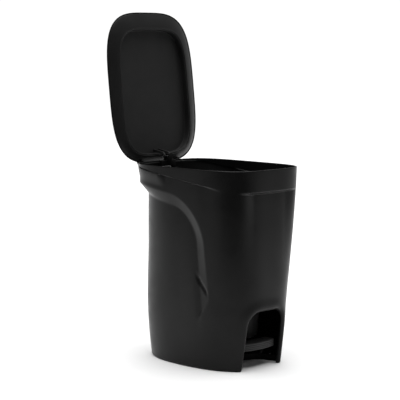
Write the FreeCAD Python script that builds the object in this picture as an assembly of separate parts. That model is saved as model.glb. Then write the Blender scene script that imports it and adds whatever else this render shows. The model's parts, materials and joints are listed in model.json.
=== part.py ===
import FreeCAD, Part
import math
import os

Vector = FreeCAD.Vector

# Pedal trash can, millimetres. X is the width, the front faces -Y, Z is up.
# The origin is on the underside of the base, below the centre of the rim.
# The lid is modelled open and the pedal pressed.

# Driving dimensions
RIM_HEIGHT = 400.0
RIM_HALF_WIDTH = 109.5
RIM_HALF_DEPTH = 155.8
BASE_HALF_WIDTH = 96.7
BASE_HALF_DEPTH = 147.2
BODY_CENTRE_Y = 4.5
WALL = 2.4
LID_HALF_WIDTH = 122.0
LID_HALF_LENGTH = 158.2
LID_CROWN = 18.0
LID_CROWN_POWER = 5
LID_EDGE = 3.0
LID_OPEN_DEG = 96.7
HINGE_Y = 160.0
HINGE_Z = 394.7
CRANK_RADIUS = 20.0
PEDAL_PIVOT_Z = 22.0

# Body outline: superellipses that grow and square up with height
BODY_TOP_Z = 350.0
BODY_TOP_HALF_WIDTH = 106.5
BODY_TOP_HALF_DEPTH = 150.0
BASE_POWER = 2.42
RIM_POWER = 4.2
BODY_BULGE = 6.3
BASE_EDGE_RADIUS = 4.0
OUTLINE_POINTS = 72

# Rim band: its lower edge slopes down from the back to the front
BAND_MID_Z = 376.8
BAND_SLOPE = 0.13
BAND_STEP = 10.0
BAND_TAPER = 0.03

# Recess swept round the sides and the back
RECESS_DEPTH = 7.0
RECESS_BACK_DEPTH = 0.9
RECESS_POWER = 2.65
RECESS_TOP_Z = 342.8
RECESS_TOP_SLOPE = 0.14
RECESS_FRONT_Y = -95.2
RECESS_FRONT_SLOPE = 0.085
RECESS_CORNER = 85.0
RECESS_RAMP = 34.0
RECESS_FADE_LOW = 95.0
RECESS_FADE_HEIGHT = 50.0

# Foot arch in the front
ARCH_HALF_WIDTH = 53.5
ARCH_TOP_HALF_WIDTH = 50.0
ARCH_HEIGHT = 116.5
ARCH_CORNER = 36.0
ARCH_FLANGE_TOP_Y = -135.0
ARCH_FLANGE_FOOT_Y = -116.0

# Lid
LID_POWER = 3.57
LID_PLANE_Z = 405.3
LID_REAR_Y = 159.5
LID_WALL = 2.2
LIP_DROP = 8.0
LIP_HALF_WIDTH = 98.0
LIP_HALF_DEPTH = 135.0
LIP_POWER = 4.2
PANEL_Y = 10.7
PANEL_RISE = 4.4
PANEL_SEAT = 3.0
PANEL_WALL = 1.8
PANEL_HALF_WIDTH = 92.0
PANEL_HALF_DEPTH = 129.5
LINER_WALL = 2.0
KNUCKLE_RADIUS = 3.6
KNUCKLE_X = (46.0, 60.0)
EAR_WIDTH = 4.5
EAR_RADIUS = 4.2
PIN_RADIUS = 1.5
RUNNING_CLEARANCE = 0.06
JOINT_GAP = 0.5

# Lifting gear on the back wall
WIRE_RADIUS = 1.6
WIRE_BEND = 4.0
WIRE_X = 7.5
CROSSBAR_LEFT_X = -18.0
CROSSBAR_Z = 388.0
LUG_X = (6.0, 9.0)
LUG_BOSS_RADIUS = 4.2
LIFTER_HALF_WIDTH = 20.0
TONGUE_HALF_WIDTH = 5.0
RAIL_WIDTH = 3.6
GUIDE_HALF_WIDTH = 34.0
GUIDE_Y = (139.0, 148.4)
GUIDE_Z = (346.0, 384.0)
GUIDE_BRIDGE = 4.0
GUIDE_FLANGE_Y = 146.0
GUIDE_LIP = 1.6
LIFTER_Y = (141.0, 147.5)
LIFTER_WING_X = 14.0
LIFTER_WING_DROP = 5.5
PAD_X = 24.4
PAD_BACK_Y = 154.0
EYE_Z = 125.0
EYE_Y = (139.5, 148.9)
EYE_HALF = (4.5, 6.0)
EYE_PLATE_HALF = (13.0, 8.0)
EYE_PLATE_Y = 146.6
EYE_SCREW_X = 8.0
SCREW_RADIUS = 1.5
SCREW_HEAD_RADIUS = 3.0
SCREW_HEAD_DEPTH = 2.0
GUIDE_SCREW_LENGTH = 4.4

# Base tray and bucket
TRAY_HALF_WIDTH = 89.8
TRAY_HALF_DEPTH = 140.3
TRAY_THICKNESS = 3.0
SEAT_GAP = 0.2
FOOT_SPACE_HALF_WIDTH = 66.0
FOOT_SPACE_DEPTH = 92.0
FOOT_SPACE_Y = -142.0
FOOT_SPACE_POWER = 3.0
SKIRT_HEIGHT = 12.0
CHEEK_X = (50.0, 53.0)
CHEEK_Y = (-48.0, 124.0)
CHEEK_LEAN = 4.0
CHEEK_RIB_Y = (-36.0, 36.0, 80.0)
CHEEK_RIB_REACH = 14.0
CHEEK_RIB_TOP_Z = 30.0
RIB_HALF_WIDTH = 1.2
BUCKET_FLOOR_Z = 50.0
BUCKET_TOP_Z = 366.0
BUCKET_WALL = 1.8
BUCKET_RIM_WIDTH = 3.0
BUCKET_RIM_DEPTH = 2.0
BASE_SCREW_X = 70.0
BASE_SCREW_REACH = 88.0
BASE_SCREW_LENGTH = 11.0
BOSS_RADIUS = 5.0
BOSS_TOP_Z = 26.0
BOSS_RIB_LENGTH = 22.0
FOOT_PAD_RADIUS = 7.0
FOOT_PAD_DEPTH = 2.0

# Pedal
ARM_X = (36.0, 42.0)
ARM_FRONT_Y = -110.0
ARM_TOP = 26.5
TREAD_GROOVES = (3.5, 7.0, 10.5)
TREAD_WALL = 2.4
TREAD_CORNER = 4.0
TREAD_EDGE = 1.5
TREAD_HALF_WIDTH = 47.0
TREAD_FRONT_Y = -124.0
TREAD_SIDE_Y = -116.0
TREAD_BACK_Y = -91.0
TREAD_Z = (38.0, 52.0)
AXLE_RADIUS = 3.0
BUSH_RADIUS = 5.0

# Worked out from the driving dimensions
HALF_SWING = math.radians(LID_OPEN_DEG / 2)
LUG_PIN_Y = HINGE_Y - CRANK_RADIUS * math.cos(HALF_SWING)
LUG_PIN_Z = HINGE_Z + CRANK_RADIUS * math.sin(HALF_SWING)
SLOT_REACH = CRANK_RADIUS * (1 - math.cos(HALF_SWING)) / 2
SLOT_Y = LUG_PIN_Y - SLOT_REACH
LID_CENTRE_Y = LID_REAR_Y - LID_HALF_LENGTH
LEVER_END_Z = PEDAL_PIVOT_Z + 19.0


def smooth(value):
    """Goes from 0 to 1 with flat ends."""
    value = min(max(value, 0.0), 1.0)
    return value * value * (3 - 2 * value)


def superellipse(half_x, half_y, power, centre_y, turn):
    """One point of a superellipse, at a turn of 0 to 1."""
    cosine = math.cos(2 * math.pi * turn)
    sine = math.sin(2 * math.pi * turn)
    reach = (abs(cosine) ** power + abs(sine) ** power) ** (-1 / power)
    return half_x * reach * cosine, centre_y + half_y * reach * sine


def closed_curve(points):
    """A smooth closed wire through points at even parameters."""
    curve = Part.BSplineCurve()
    steps = len(points)
    parameters = [index / steps for index in range(steps + 1)]
    curve.interpolate(Points=points, PeriodicFlag=True, Parameters=parameters)
    return Part.Wire(curve.toShape())


def ring(half_x, half_y, power, centre_y, z, count=48):
    points = []
    for index in range(count):
        x, y = superellipse(half_x, half_y, power, centre_y, index / count)
        points.append(Vector(x, y, z))
    return closed_curve(points)


def stack(rings, ruled=False):
    """A closed solid through rings, each given as (half_x, half_y, power, centre_y, z)."""
    return Part.makeLoft([ring(*values) for values in rings], True, ruled)


def prism(outline, x_low, width):
    """A polygon of (y, z) points carried along X."""
    points = [Vector(x_low, y, z) for y, z in outline]
    wire = Part.makePolygon(points + points[:1])
    return Part.Face(wire).extrude(Vector(width, 0, 0))


def box(low, high):
    size = [high[axis] - low[axis] for axis in range(3)]
    return Part.makeBox(size[0], size[1], size[2], Vector(*low))


def rod_x(radius, x_low, x_high, y, z):
    return Part.makeCylinder(radius, x_high - x_low, Vector(x_low, y, z), Vector(1, 0, 0))


def rod_y(radius, y_low, y_high, x, z):
    return Part.makeCylinder(radius, y_high - y_low, Vector(x, y_low, z), Vector(0, 1, 0))


def rod_z(radius, z_low, z_high, x, y):
    return Part.makeCylinder(radius, z_high - z_low, Vector(x, y, z_low))


def fuse(shapes):
    return shapes[0].multiFuse(shapes[1:]).removeSplitter()


def mirror_x(shape):
    return shape.mirror(Vector(0, 0, 0), Vector(1, 0, 0))


def body_point(z, turn, inset):
    """A point of the outer shell's surface, moved in by inset."""
    rise = z / BODY_TOP_Z
    bulge = rise * (1 - rise)
    half_x = BASE_HALF_WIDTH + (BODY_TOP_HALF_WIDTH - BASE_HALF_WIDTH) * rise + BODY_BULGE * bulge
    half_y = BASE_HALF_DEPTH + (BODY_TOP_HALF_DEPTH - BASE_HALF_DEPTH) * rise + BODY_BULGE * bulge
    power = BASE_POWER + (RIM_POWER - BASE_POWER) * min(rise, 1.0)
    if z < BASE_EDGE_RADIUS:
        drop = BASE_EDGE_RADIUS - z
        inset = inset + BASE_EDGE_RADIUS - math.sqrt(max(BASE_EDGE_RADIUS ** 2 - drop ** 2, 0.0))
    front = superellipse(half_x - inset, half_y - inset, power, BODY_CENTRE_Y, turn)
    recess = superellipse(
        half_x - inset - RECESS_DEPTH * rise,
        half_y - inset - RECESS_BACK_DEPTH * rise,
        RECESS_POWER,
        BODY_CENTRE_Y,
        turn,
    )
    band_grow = (z - RIM_HEIGHT) * BAND_TAPER
    band = superellipse(
        RIM_HALF_WIDTH + band_grow - inset, RIM_HALF_DEPTH + band_grow - inset, RIM_POWER, 0.0, turn
    )
    y = front[1]
    below = RECESS_TOP_Z + RECESS_TOP_SLOPE * y - z
    behind = y - RECESS_FRONT_Y - RECESS_FRONT_SLOPE * z
    depth = min(below, behind)
    if below < RECESS_CORNER and behind < RECESS_CORNER:
        depth = RECESS_CORNER - math.hypot(RECESS_CORNER - below, RECESS_CORNER - behind)
    recessed = smooth(depth / RECESS_RAMP) * smooth((z - RECESS_FADE_LOW) / RECESS_FADE_HEIGHT)
    banded = smooth((z - BAND_MID_Z - BAND_SLOPE * y + BAND_STEP) / BAND_STEP)
    point = []
    for axis in range(2):
        value = front[axis] + (recess[axis] - front[axis]) * recessed
        point.append(value + (band[axis] - value) * banded)
    return Vector(point[0], point[1], z)


def body_solid(levels, inset, low=None, high=None):
    """A closed solid inside the shell's surface. The end levels may be moved to low and high."""
    sections = []
    for level in levels:
        z = level
        if level == levels[0] and low is not None:
            z = low
        if level == levels[-1] and high is not None:
            z = high
        points = []
        for index in range(OUTLINE_POINTS):
            point = body_point(level, index / OUTLINE_POINTS, inset)
            points.append(Vector(point.x, point.y, z))
        sections.append(closed_curve(points))
    return Part.makeLoft(sections, True, False)


def body_levels():
    foot = [0.0, 1.2, BASE_EDGE_RADIUS]
    lower = [30.0, 60.0, 90.0, 110.0, 130.0, 155.0, 190.0, 225.0, 255.0, 280.0, 300.0, 315.0]
    upper = [328.0 + 6.0 * step for step in range(12)]
    return foot + lower + upper + [RIM_HEIGHT]


def arch_outline(grow, reach_down):
    """The foot arch as a wire on the XZ plane, grown outward by grow."""
    top = ARCH_HEIGHT + grow
    foot_x = ARCH_HALF_WIDTH + grow
    shoulder_x = ARCH_TOP_HALF_WIDTH + grow
    corner = ARCH_CORNER + grow
    diagonal = corner * (1 - math.sqrt(0.5))
    left = Vector(-shoulder_x, 0, top - corner)
    left_mid = Vector(-shoulder_x + diagonal, 0, top - diagonal)
    left_top = Vector(-shoulder_x + corner, 0, top)
    right_top = Vector(shoulder_x - corner, 0, top)
    right_mid = Vector(shoulder_x - diagonal, 0, top - diagonal)
    right = Vector(shoulder_x, 0, top - corner)
    foot_left = Vector(-foot_x, 0, -reach_down)
    foot_right = Vector(foot_x, 0, -reach_down)
    edges = [
        Part.LineSegment(foot_left, left).toShape(),
        Part.Arc(left, left_mid, left_top).toShape(),
        Part.LineSegment(left_top, right_top).toShape(),
        Part.Arc(right_top, right_mid, right).toShape(),
        Part.LineSegment(right, foot_right).toShape(),
        Part.LineSegment(foot_right, foot_left).toShape(),
    ]
    return Part.Wire(edges)


def arch_block(grow, reach_down, y_low, y_high):
    face = Part.Face(arch_outline(grow, reach_down))
    face.translate(Vector(0, y_low, 0))
    return face.extrude(Vector(0, y_high - y_low, 0))


def arch_flange():
    """The inward flange round the foot arch, deeper at the foot than at the top."""
    tube = arch_block(WALL, 0, -165, -100).cut(arch_block(0, 5, -170, -95))
    behind = prism(
        [(-90, -5), (ARCH_FLANGE_FOOT_Y, -5), (ARCH_FLANGE_FOOT_Y, 0), (ARCH_FLANGE_TOP_Y, ARCH_HEIGHT),
         (ARCH_FLANGE_TOP_Y, 150), (-90, 150)], -80, 160)
    return tube.cut(behind)


def base_screw_places():
    places = []
    for side in (-1, 1):
        for end in (-1, 1):
            places.append((side * BASE_SCREW_X, BODY_CENTRE_Y + end * BASE_SCREW_REACH))
    return places


def screw_bosses():
    """Bosses that take the base screws, each with a rib out to the wall."""
    boss_foot = TRAY_THICKNESS + SEAT_GAP
    bosses = []
    for x, y in base_screw_places():
        boss = rod_z(BOSS_RADIUS, boss_foot, BOSS_TOP_Z, x, y)
        rib = box((0, -RIB_HALF_WIDTH, boss_foot), (BOSS_RIB_LENGTH, RIB_HALF_WIDTH, BOSS_TOP_Z))
        rib.rotate(Vector(0, 0, 0), Vector(0, 0, 1), math.degrees(math.atan2(y - BODY_CENTRE_Y, x)))
        rib.translate(Vector(x, y, 0))
        hole = rod_z(SCREW_RADIUS, 0, BASE_SCREW_LENGTH + 3, x, y)
        bosses.append(fuse([boss, rib]).cut(hole))
    return bosses


def hinge_ears():
    """Two pairs of ears on the back wall that hold the hinge pins."""
    root_y = HINGE_Y - 10
    ears = []
    for side in (-1, 1):
        for start in (KNUCKLE_X[0] - JOINT_GAP - EAR_WIDTH, KNUCKLE_X[1] + JOINT_GAP):
            plate = prism(
                [(root_y, HINGE_Z - 14), (HINGE_Y - 2, HINGE_Z - 8), (HINGE_Y + EAR_RADIUS, HINGE_Z - 1),
                 (HINGE_Y + EAR_RADIUS, HINGE_Z), (HINGE_Y, HINGE_Z + EAR_RADIUS),
                 (root_y, HINGE_Z + EAR_RADIUS)],
                start, EAR_WIDTH)
            nose = rod_x(EAR_RADIUS, start, start + EAR_WIDTH, HINGE_Y, HINGE_Z)
            hole = rod_x(PIN_RADIUS, start - 1, start + EAR_WIDTH + 1, HINGE_Y, HINGE_Z)
            ear = fuse([plate, nose]).cut(hole)
            ears.append(ear if side > 0 else mirror_x(ear))
    return ears


def wall_pads():
    """Pads on the inside of the back wall that the two guides are screwed to."""
    front_y = GUIDE_Y[1] + SEAT_GAP
    eye_front_y = EYE_Y[1] + SEAT_GAP / 2
    pads = []
    for side in (-1, 1):
        x_low = min(side * PAD_X, side * GUIDE_HALF_WIDTH)
        pads.append(box((x_low, front_y, GUIDE_Z[0] + 6),
                        (x_low + GUIDE_HALF_WIDTH - PAD_X, PAD_BACK_Y, GUIDE_Z[1] - 2)))
    for x in (WIRE_X - EYE_SCREW_X, WIRE_X + EYE_SCREW_X):
        pads.append(box((x - 3.5, eye_front_y, EYE_Z - 7), (x + 3.5, PAD_BACK_Y - 1, EYE_Z + 7)))
    for index, (x, z) in enumerate(guide_screw_places()):
        pads[index] = pads[index].cut(rod_y(SCREW_RADIUS, front_y - 8, front_y + 2.4, x, z))
    return pads


def guide_screw_places():
    return [(-29, 367), (29, 367), (WIRE_X - EYE_SCREW_X, EYE_Z), (WIRE_X + EYE_SCREW_X, EYE_Z)]


def outer_shell():
    outside = body_solid(body_levels(), 0.0)
    cavity = body_solid(body_levels(), WALL, low=-1.0, high=RIM_HEIGHT + 1)
    inside = fuse(screw_bosses() + wall_pads() + [arch_flange()])
    shell = outside.cut(cavity)
    shell = shell.fuse(inside.common(outside))
    shell = shell.cut(arch_block(0, 5, -170, -105))
    ears = Part.makeCompound(hinge_ears()).cut(cavity)
    return shell.fuse(ears)


def in_open_pose(shape):
    """Turns a lid piece from its closed place to the open one."""
    shape.rotate(Vector(0, HINGE_Y, HINGE_Z), Vector(1, 0, 0), -LID_OPEN_DEG)
    return shape


def lid_dome(inset, drop):
    """The dome's solid: a rolled edge and a shallow crown."""
    rings = [(1.0, 0.0), (0.995, 1.6), (0.975, LID_EDGE)]
    for scale in (0.95, 0.92, 0.88, 0.83, 0.77, 0.7, 0.6, 0.46, 0.3, 0.1):
        rings.append((scale, LID_EDGE + (LID_CROWN - LID_EDGE) * (1 - scale ** LID_CROWN_POWER)))
    return stack([
        (scale * (LID_HALF_WIDTH - inset), scale * (LID_HALF_LENGTH - inset), LID_POWER,
         LID_CENTRE_Y, LID_PLANE_Z + height - drop)
        for scale, height in rings
    ], ruled=True)


def lid_knuckles():
    knuckles = []
    for side in (-1, 1):
        x_low = min(side * KNUCKLE_X[0], side * KNUCKLE_X[1])
        x_high = max(side * KNUCKLE_X[0], side * KNUCKLE_X[1])
        barrel = rod_x(KNUCKLE_RADIUS, x_low, x_high, HINGE_Y, HINGE_Z)
        web = box((x_low, HINGE_Y - 2.8, HINGE_Z), (x_high, HINGE_Y + 2.8, LID_PLANE_Z + 1.5))
        root = prism([(HINGE_Y - 2.8, LID_PLANE_Z - 3), (HINGE_Y + 2.8, LID_PLANE_Z - 3),
                      (HINGE_Y - 6, LID_PLANE_Z + 5), (HINGE_Y - 14, LID_PLANE_Z + 3.5)],
                     x_low, x_high - x_low)
        bore = rod_x(PIN_RADIUS + RUNNING_CLEARANCE, x_low - 1, x_high + 1, HINGE_Y, HINGE_Z)
        knuckles.append(fuse([barrel, web, root]).cut(bore))
    return knuckles


def lid_cover():
    shell = lid_dome(0, 0).cut(lid_dome(LID_WALL, LID_WALL))
    return in_open_pose(fuse([shell] + lid_knuckles()))


def lid_liner():
    """The sloping band round the underside, down to the standing lip."""
    edge = LID_WALL + 0.3
    edge_x = LID_HALF_WIDTH - edge
    edge_y = LID_HALF_LENGTH - edge
    lip_z = LID_PLANE_Z - LIP_DROP
    band = stack([
        (edge_x, edge_y, LID_POWER, LID_CENTRE_Y, LID_PLANE_Z),
        (LIP_HALF_WIDTH, LIP_HALF_DEPTH, LIP_POWER, PANEL_Y, lip_z),
    ], ruled=True)
    back = stack([
        (edge_x - 6, edge_y - 6, LID_POWER, LID_CENTRE_Y, LID_PLANE_Z + 0.01),
        (LIP_HALF_WIDTH - 2, LIP_HALF_DEPTH - 2, LIP_POWER, PANEL_Y, lip_z + LINER_WALL),
    ], ruled=True)
    seat_x = LIP_HALF_WIDTH - PANEL_SEAT
    seat_y = LIP_HALF_DEPTH - PANEL_SEAT
    hole = stack([
        (seat_x, seat_y, LIP_POWER, PANEL_Y, lip_z - 1),
        (seat_x, seat_y, LIP_POWER, PANEL_Y, lip_z + 2 * LINER_WALL),
    ], ruled=True)
    return in_open_pose(band.cut(back).cut(hole))


def lid_panel():
    """The recessed panel with its rim wall, and the two lugs that carry the lug pin."""
    lip_z = LID_PLANE_Z - LIP_DROP
    panel_z = LID_PLANE_Z + PANEL_RISE
    seat = PANEL_SEAT + 0.05
    block = stack([
        (LIP_HALF_WIDTH - seat, LIP_HALF_DEPTH - seat, LIP_POWER, PANEL_Y, lip_z),
        (PANEL_HALF_WIDTH + LINER_WALL, PANEL_HALF_DEPTH + LINER_WALL, LIP_POWER, PANEL_Y,
         panel_z + PANEL_WALL),
    ], ruled=True)
    pocket = stack([
        (LIP_HALF_WIDTH - seat - LINER_WALL, LIP_HALF_DEPTH - seat - LINER_WALL, LIP_POWER, PANEL_Y,
         lip_z - 0.01),
        (PANEL_HALF_WIDTH, PANEL_HALF_DEPTH, LIP_POWER, PANEL_Y, panel_z),
    ], ruled=True)
    panel = in_open_pose(block.cut(pocket))
    return panel.multiFuse(lid_lugs())


def lid_lugs():
    """The two hooked lugs, drawn in the open pose, that carry the lug pin."""
    y = LUG_PIN_Y
    z = LUG_PIN_Z
    panel_y = HINGE_Y + (LID_PLANE_Z + PANEL_RISE - HINGE_Z) + 3.6
    outline = [(y - LUG_BOSS_RADIUS, z), (y + LUG_BOSS_RADIUS, z), (y + 9, z + 6), (panel_y, z + 6),
               (panel_y + 1, z + 17), (y + 5, z + 17), (y - LUG_BOSS_RADIUS + 0.5, z + 5)]
    lugs = []
    for side in (-1, 1):
        x_low = min(side * LUG_X[0], side * LUG_X[1])
        width = LUG_X[1] - LUG_X[0]
        plate = prism(outline, x_low, width)
        boss = rod_x(LUG_BOSS_RADIUS, x_low, x_low + width, y, z)
        hole = rod_x(PIN_RADIUS, x_low - 1, x_low + width + 1, y, z)
        lugs.append(fuse([plate, boss]).cut(hole))
    return lugs


def headed_pin(radius, head_radius, x_low, x_high, y, z):
    shank = rod_x(radius, x_low, x_high, y, z)
    head = rod_x(head_radius, x_high, x_high + 1.2, y, z)
    return fuse([shank, head])


def hinge_pin_right():
    outer = KNUCKLE_X[1] + JOINT_GAP + EAR_WIDTH
    inner = KNUCKLE_X[0] - JOINT_GAP - EAR_WIDTH
    return headed_pin(PIN_RADIUS, 2.6, inner, outer, HINGE_Y, HINGE_Z)


def hinge_pin_left():
    return mirror_x(hinge_pin_right())


def lug_pin():
    return headed_pin(PIN_RADIUS, 2.4, -LUG_X[1] - 1, LUG_X[1], LUG_PIN_Y, LUG_PIN_Z)


def lifter():
    """Slides on the back wall. Its slotted tongue takes the lug pin."""
    bottom = CROSSBAR_Z + 0.8
    shoulder = LUG_PIN_Z - 9.0
    front_y, back_y = LIFTER_Y
    body = box((-LIFTER_HALF_WIDTH, front_y, bottom), (LIFTER_HALF_WIDTH, back_y, shoulder))
    wing = box((LIFTER_WING_X, front_y, bottom - LIFTER_WING_DROP), (LIFTER_HALF_WIDTH, back_y, bottom))
    slot_half = SLOT_REACH + PIN_RADIUS + 0.5
    rise = PIN_RADIUS + 1.1
    tongue = box((-TONGUE_HALF_WIDTH, SLOT_Y - slot_half - 1.8, shoulder - 2),
                 (TONGUE_HALF_WIDTH, SLOT_Y + slot_half + 1.8, LUG_PIN_Z + rise + 2.2))
    slot = box((-TONGUE_HALF_WIDTH - 1, SLOT_Y - slot_half, LUG_PIN_Z - rise),
               (TONGUE_HALF_WIDTH + 1, SLOT_Y + slot_half, LUG_PIN_Z + rise))
    groove = rod_x(WIRE_RADIUS, -LIFTER_HALF_WIDTH - 1, LIFTER_HALF_WIDTH + 1, SLOT_Y, CROSSBAR_Z)
    return fuse([body, tongue, wing]).cut(slot).cut(groove)


def lifting_wire():
    """Steel wire: a crossbar at the top, a long leg, and a short leg through the lever."""
    y = SLOT_Y
    top = CROSSBAR_Z
    low = LEVER_END_Z
    bend = WIRE_BEND
    chord = bend * (1 - math.sqrt(0.5))
    start = Vector(CROSSBAR_LEFT_X, y, top)
    top_in = Vector(WIRE_X - bend, y, top)
    top_mid = Vector(WIRE_X - chord, y, top - chord)
    top_out = Vector(WIRE_X, y, top - bend)
    low_in = Vector(WIRE_X, y, low + bend)
    low_mid = Vector(WIRE_X - chord, y, low + chord)
    low_out = Vector(WIRE_X - bend, y, low)
    end = Vector(-10, y, low)
    path = Part.Wire([
        Part.LineSegment(start, top_in).toShape(),
        Part.Arc(top_in, top_mid, top_out).toShape(),
        Part.LineSegment(top_out, low_in).toShape(),
        Part.Arc(low_in, low_mid, low_out).toShape(),
        Part.LineSegment(low_out, end).toShape(),
    ])
    section = Part.Wire(Part.makeCircle(WIRE_RADIUS, start, Vector(1, 0, 0)))
    return path.makePipeShell([section], True, True)


def lifter_guide():
    """Two channels joined by a bridge, screwed to the back wall."""
    front_y, back_y = GUIDE_Y
    low, high = GUIDE_Z
    bridge_top = low + GUIDE_BRIDGE
    bridge_x = LIFTER_HALF_WIDTH + GUIDE_BRIDGE
    pieces = [box((-bridge_x, front_y, low), (bridge_x, back_y, bridge_top))]
    inner = LIFTER_HALF_WIDTH + 0.4
    for side in (-1, 1):
        rail = box((inner, front_y, low), (inner + RAIL_WIDTH, back_y, high))
        lip = box((inner - 3, front_y, low), (inner + 1, front_y + GUIDE_LIP, high))
        flange = box((inner + 1, GUIDE_FLANGE_Y, bridge_top), (GUIDE_HALF_WIDTH, back_y, high))
        half = fuse([rail, lip, flange])
        pieces.append(half if side > 0 else mirror_x(half))
    guide = fuse(pieces)
    guide = guide.cut(rod_z(WIRE_RADIUS + SEAT_GAP, low - 5, bridge_top + 5, WIRE_X, SLOT_Y))
    for x, z in guide_screw_places()[:2]:
        guide = guide.cut(rod_y(SCREW_RADIUS, GUIDE_FLANGE_Y - 2, back_y + 2, x, z))
    return guide


def wire_guide():
    """Lower eye for the wire."""
    front_y, back_y = EYE_Y
    plate = box((WIRE_X - EYE_PLATE_HALF[0], EYE_PLATE_Y, EYE_Z - EYE_PLATE_HALF[1]),
                (WIRE_X + EYE_PLATE_HALF[0], back_y, EYE_Z + EYE_PLATE_HALF[1]))
    eye = box((WIRE_X - EYE_HALF[0], front_y, EYE_Z - EYE_HALF[1]),
              (WIRE_X + EYE_HALF[0], back_y, EYE_Z + EYE_HALF[1]))
    bore = rod_z(WIRE_RADIUS + SEAT_GAP, EYE_Z - 15, EYE_Z + 15, WIRE_X, SLOT_Y)
    guide = fuse([plate, eye]).cut(bore)
    for x, z in guide_screw_places()[2:]:
        guide = guide.cut(rod_y(SCREW_RADIUS, EYE_PLATE_Y - 2, back_y + 2, x, z))
    return guide


def pan_screw(length):
    """A cross-head screw along +Y, its head's underside at y = 0."""
    shank = rod_y(SCREW_RADIUS, 0, length, 0, 0)
    head = rod_y(SCREW_HEAD_RADIUS, -1.8, 0, 0, 0)
    head = head.makeFillet(0.8, [edge for edge in head.Edges if edge.CenterOfMass.y < -1.7])
    cross = fuse([box((-1.6, -1.9, -0.35), (1.6, -0.9, 0.35)), box((-0.35, -1.9, -1.6), (0.35, -0.9, 1.6))])
    return fuse([shank, head]).cut(cross)


def guide_screws():
    screws = []
    seats = [GUIDE_FLANGE_Y, GUIDE_FLANGE_Y, EYE_PLATE_Y, EYE_PLATE_Y]
    for (x, z), seat in zip(guide_screw_places(), seats):
        screw = pan_screw(GUIDE_SCREW_LENGTH)
        screw.translate(Vector(x, seat, z))
        screws.append(screw)
    return Part.makeCompound(screws)


def base_screws():
    screws = []
    for x, y in base_screw_places():
        screw = pan_screw(BASE_SCREW_LENGTH)
        screw.rotate(Vector(0, 0, 0), Vector(1, 0, 0), 90)
        screw.translate(Vector(x, y, SCREW_HEAD_DEPTH))
        screws.append(screw)
    return Part.makeCompound(screws)


def foot_places():
    return {
        "foot_front_left": (-75.0, -60.0),
        "foot_front_right": (75.0, -60.0),
        "foot_rear_left": (-54.0, 104.0),
        "foot_rear_right": (54.0, 104.0),
    }


def foot_space(grow, z_low, z_high):
    """The hollow that the foot reaches into, open to the floor."""
    points = []
    for index in range(48):
        x, y = superellipse(FOOT_SPACE_HALF_WIDTH + grow, FOOT_SPACE_DEPTH + grow, FOOT_SPACE_POWER,
                            FOOT_SPACE_Y, index / 48)
        points.append(Vector(x, y, z_low))
    return Part.Face(closed_curve(points)).extrude(Vector(0, 0, z_high - z_low))


def base_tray():
    """Bottom plate with a curved skirt behind the pedal and two cheeks that carry the bucket."""
    plate_values = (TRAY_HALF_WIDTH, TRAY_HALF_DEPTH, BASE_POWER, BODY_CENTRE_Y)
    plate = Part.Face(ring(*plate_values, 0)).extrude(Vector(0, 0, TRAY_THICKNESS))
    within = Part.Face(ring(*plate_values, 0)).extrude(Vector(0, 0, SKIRT_HEIGHT))
    leg_front = box((-120, -160, -1), (120, -112, 40))
    skirt = foot_space(2.5, 0, SKIRT_HEIGHT).common(within)
    tray = [plate, skirt]
    for side in (-1, 1):
        front_y, back_y = CHEEK_Y
        cheek = prism([(front_y, 1), (back_y, 1), (back_y - CHEEK_LEAN, BUCKET_FLOOR_Z),
                       (front_y + CHEEK_LEAN, BUCKET_FLOOR_Z)], CHEEK_X[0], CHEEK_X[1] - CHEEK_X[0])
        boss = rod_x(8.5, CHEEK_X[0] - 1.5, CHEEK_X[1] + 3.5, 0, PEDAL_PIVOT_Z)
        rib_x = CHEEK_X[1] + CHEEK_RIB_REACH
        ribs = [box((CHEEK_X[0], y - RIB_HALF_WIDTH, 1), (rib_x, y + RIB_HALF_WIDTH, CHEEK_RIB_TOP_Z))
                for y in CHEEK_RIB_Y]
        half = fuse([cheek, boss] + ribs)
        half = half.cut(rod_x(BUSH_RADIUS, CHEEK_X[0] - 5, CHEEK_X[1] + 8, 0, PEDAL_PIVOT_Z))
        tray.append(half if side > 0 else mirror_x(half))
    tray = fuse(tray).cut(foot_space(0, -1, SKIRT_HEIGHT + 1)).cut(leg_front)
    for x, y in base_screw_places():
        tray = tray.cut(rod_z(SCREW_RADIUS + SEAT_GAP, -1, 5, x, y))
        tray = tray.cut(rod_z(SCREW_HEAD_RADIUS + SEAT_GAP, -1, SCREW_HEAD_DEPTH, x, y))
    for x, y in foot_places().values():
        tray = tray.cut(rod_z(FOOT_PAD_RADIUS, -1, FOOT_PAD_DEPTH, x, y))
    return tray


def foot_pad(x, y):
    pad = rod_z(FOOT_PAD_RADIUS, 0, FOOT_PAD_DEPTH, x, y)
    return pad.makeFillet(0.5, [edge for edge in pad.Edges if edge.CenterOfMass.z < 0.1])


def bucket_rings(inset, low, high):
    """Rings of the bucket's wall, whose front slopes back towards the floor to clear the pedal."""
    return [
        (68 - inset, 102 - inset, 3.6, 24.5, low),
        (72 - inset, 105 - inset, 3.4, 22.5, BUCKET_FLOOR_Z + 55),
        (83 - inset, 120 - inset, 3.1, 11.5, BUCKET_FLOOR_Z + 190),
        (91 - inset, 134 - inset, 3.0, 1.0, high),
    ]


def inner_bucket():
    outside = stack(bucket_rings(0, BUCKET_FLOOR_Z, BUCKET_TOP_Z))
    inside = stack(bucket_rings(BUCKET_WALL, BUCKET_FLOOR_Z + 2.0, BUCKET_TOP_Z + 0.01))
    half_x, half_y, power, centre_y, _ = bucket_rings(-BUCKET_RIM_WIDTH, BUCKET_FLOOR_Z, BUCKET_TOP_Z)[-1]
    rim_ring = ring(half_x, half_y, power, centre_y, BUCKET_TOP_Z - BUCKET_RIM_DEPTH)
    rim = Part.Face(rim_ring).extrude(Vector(0, 0, BUCKET_RIM_DEPTH))
    return outside.fuse(rim).cut(inside)


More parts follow.
